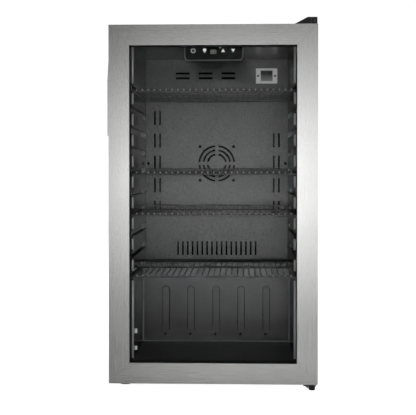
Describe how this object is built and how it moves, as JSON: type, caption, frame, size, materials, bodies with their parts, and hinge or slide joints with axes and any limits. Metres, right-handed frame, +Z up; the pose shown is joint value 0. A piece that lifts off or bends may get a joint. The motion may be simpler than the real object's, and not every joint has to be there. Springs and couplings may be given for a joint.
{
  "type": "mini fridge",
  "caption": "Upright cooler with a glass door in a mitred steel frame, wire shelves, a slotted back panel and a fan.",
  "frame": {"origin": "on the floor, under the middle of the overall box", "axes": "+Z up, the door faces -Y, +X to the right seen from the front"},
  "size_m": [0.4828, 0.446, 0.858],
  "materials": {
    "steel_sheet_black": "black textured paint",
    "liner_plastic": "black moulded liner, semi-gloss",
    "foam": null,
    "cover_plastic": "black moulded plastic, satin",
    "black_plastic": "black moulded plastic",
    "fascia_plastic": "glossy black",
    "zinc_steel": "zinc plated",
    "evaporator_aluminium": "plain",
    "lamp_plastic": "light grey",
    "lens": "translucent",
    "circuit_board": "green board",
    "compressor_paint": "gloss black enamel",
    "rubber": "black",
    "copper": "copper tube",
    "condenser_steel": "black tube",
    "stainless": "brushed stainless",
    "door_glass": "tinted double glazing",
    "gasket_rubber": "soft black seal",
    "magnet": "flexible magnet strip",
    "foot_plastic": "black glide on a threaded stud",
    "shelf_wire": "chromed wire"
  },
  "bodies": {
    "cabinet": {"cabinet_shell": "steel_sheet_black", "back_panel": "steel_sheet_black", "base_plate": "steel_sheet_black", "compressor_cover": "steel_sheet_black", "bay_partition": "steel_sheet_black", "inner_liner": "liner_plastic", "foam_insulation": "foam", "evaporator_cover": "cover_plastic", "wall_spacers": "black_plastic", "power_gland": "black_plastic", "drain_tube": "black_plastic", "fan_frame": "black_plastic", "fan_motor": "black_plastic", "temperature_sensor": "black_plastic", "control_housing": "black_plastic", "top_hinge_cover": "black_plastic", "terminal_cover": "black_plastic", "control_fascia": "fascia_plastic", "rear_screws": "zinc_steel", "panel_screws": "zinc_steel", "hinge_screws": "zinc_steel", "lamp_screws": "zinc_steel", "top_hinge_bracket": "zinc_steel", "bottom_hinge_bracket": "zinc_steel", "top_hinge_pin": "zinc_steel", "evaporator": "evaporator_aluminium", "lamp_housing": "lamp_plastic", "lamp_lens": "lens", "display_window": "lens", "lamp_board": "circuit_board", "compressor": "compressor_paint", "compressor_grommets": "rubber", "rear_feet": "rubber", "suction_pipe": "copper", "discharge_pipe": "copper", "filter_drier": "copper", "condenser": "condenser_steel"},
    "door": {"top_rail": "stainless", "bottom_rail": "stainless", "left_stile": "stainless", "right_stile": "stainless", "door_liner": "black_plastic", "outer_glass": "door_glass", "inner_glass": "door_glass", "glass_spacer": "evaporator_aluminium", "gasket": "gasket_rubber", "magnet_strips": "magnet", "door_handle": "stainless", "hinge_bushes": "black_plastic"},
    "fan_rotor": {"fan_rotor": "black_plastic"},
    "left_foot": {"left_foot": "foot_plastic"},
    "right_foot": {"right_foot": "foot_plastic"},
    "shelf_1": {"shelf_1": "shelf_wire"},
    "shelf_2": {"shelf_2": "shelf_wire"},
    "shelf_3": {"shelf_3": "shelf_wire"},
    "shelf_4": {"shelf_4": "shelf_wire"},
    "power_button": {"power_button": "fascia_plastic"},
    "lamp_button": {"lamp_button": "fascia_plastic"},
    "up_button": {"up_button": "fascia_plastic"},
    "down_button": {"down_button": "fascia_plastic"}
  },
  "joints": [
    {"name": "door_hinge", "type": "hinge", "parent": "cabinet", "child": "door", "pos_m": [0.228, -0.202, 0], "axis": [0, 0, 1], "range_deg": [0, 120]},
    {"name": "fan_spin", "type": "hinge", "parent": "cabinet", "child": "fan_rotor", "pos_m": [0, 0.163, 0.526], "axis": [0, 1, 0], "continuous": true},
    {"name": "shelf_1_slide", "type": "slide", "parent": "cabinet", "child": "shelf_1", "axis": [0, -1, 0], "range_m": [0, 0.02]},
    {"name": "shelf_2_slide", "type": "slide", "parent": "cabinet", "child": "shelf_2", "axis": [0, -1, 0], "range_m": [0, 0.02]},
    {"name": "shelf_3_slide", "type": "slide", "parent": "cabinet", "child": "shelf_3", "axis": [0, -1, 0], "range_m": [0, 0.02]},
    {"name": "shelf_4_slide", "type": "slide", "parent": "cabinet", "child": "shelf_4", "axis": [0, -1, 0], "range_m": [0, 0.02]},
    {"name": "power_button_press", "type": "slide", "parent": "cabinet", "child": "power_button", "axis": [0, 1, 0], "range_m": [0, 0.0008], "stiffness_N_per_m": 800},
    {"name": "lamp_button_press", "type": "slide", "parent": "cabinet", "child": "lamp_button", "axis": [0, 1, 0], "range_m": [0, 0.0008], "stiffness_N_per_m": 800},
    {"name": "up_button_press", "type": "slide", "parent": "cabinet", "child": "up_button", "axis": [0, 1, 0], "range_m": [0, 0.0008], "stiffness_N_per_m": 800},
    {"name": "down_button_press", "type": "slide", "parent": "cabinet", "child": "down_button", "axis": [0, 1, 0], "range_m": [0, 0.0008], "stiffness_N_per_m": 800},
    {"name": "left_foot_screw", "type": "slide", "parent": "cabinet", "child": "left_foot", "axis": [0, 0, -1], "range_m": [0, 0.004]},
    {"name": "right_foot_screw", "type": "slide", "parent": "cabinet", "child": "right_foot", "axis": [0, 0, -1], "range_m": [0, 0.004]}
  ]
}
